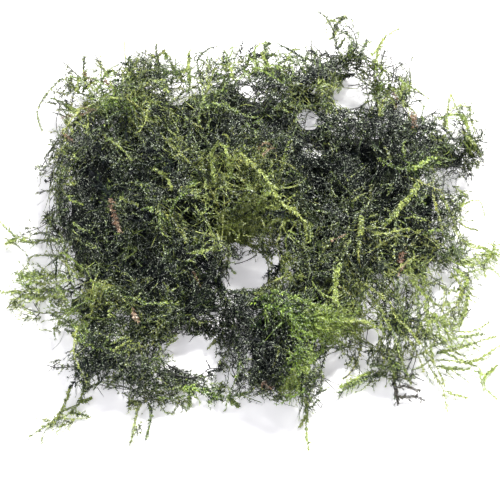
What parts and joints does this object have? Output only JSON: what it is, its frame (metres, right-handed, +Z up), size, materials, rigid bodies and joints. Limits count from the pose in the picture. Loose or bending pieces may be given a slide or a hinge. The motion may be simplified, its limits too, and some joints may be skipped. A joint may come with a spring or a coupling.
{
  "type": "moss clump",
  "caption": "Loose wet tangle of thin leafy moss shoots lying flat, with a hole near its middle, stray shoots and bare twigs round its edge and a few dead brown shoots.",
  "frame": {"origin": "on the surface that the clump lies on, below the middle of its bounding box", "axes": "+Z up, away from the surface; +X along the clump's longer side, to the right in the picture; -Y is the side nearest the picture's viewer"},
  "size_m": [0.1436, 0.1308, 0.0299],
  "materials": {
    "moss_tangle": "wet fibrous",
    "leafy_shoot": "wet leafy",
    "bare_twig": "wet bark",
    "dead_shoot": "dull fibrous"
  },
  "bodies": {
    "root": {"dead_shoot_front": "dead_shoot", "dead_shoot_front_left": "dead_shoot", "dead_shoot_left": "dead_shoot", "dead_shoot_right": "dead_shoot", "frond_left_hook": "leafy_shoot", "frond_left_low": "leafy_shoot", "frond_left_middle": "leafy_shoot", "frond_left_upper": "leafy_shoot", "mat": "moss_tangle", "runner_front_left": "leafy_shoot", "shoot_arc_inner": "leafy_shoot", "shoot_arc_outer": "leafy_shoot", "shoot_back_arch": "leafy_shoot", "shoot_back_bright": "leafy_shoot", "shoot_back_fan": "leafy_shoot", "shoot_back_left_arc": "leafy_shoot", "shoot_back_left_stem": "leafy_shoot", "shoot_back_left_tip": "leafy_shoot", "shoot_back_middle": "leafy_shoot", "shoot_back_right_blade": "leafy_shoot", "shoot_back_sprig": "leafy_shoot", "shoot_front_curl": "leafy_shoot", "shoot_front_left_hook": "leafy_shoot", "shoot_front_left_pair": "leafy_shoot", "shoot_front_left_trail": "leafy_shoot", "shoot_front_right": "leafy_shoot", "shoot_front_trail": "leafy_shoot", "shoot_right_hook": "leafy_shoot", "shoot_right_low": "leafy_shoot", "shoot_right_pale": "leafy_shoot", "shoot_right_upper": "leafy_shoot", "shoot_spray_front": "leafy_shoot", "shoot_spray_lower": "leafy_shoot", "shoot_spray_middle": "leafy_shoot", "shoot_spray_top": "leafy_shoot", "shoot_spray_upper": "leafy_shoot", "strand_front": "leafy_shoot", "stub_front_right": "bare_twig", "twig_back_black": "bare_twig", "twig_back_hook": "bare_twig", "twig_back_left": "bare_twig", "twig_back_left_low": "bare_twig", "twig_back_right": "bare_twig", "twig_back_right_arc": "bare_twig", "twig_bay": "bare_twig", "twig_front_right": "bare_twig", "twig_left_black": "bare_twig", "twig_left_fork": "bare_twig", "twig_left_long": "bare_twig", "twig_left_upper": "bare_twig", "twig_right_dark": "bare_twig", "twig_right_red": "bare_twig"}
  },
  "joints": []
}
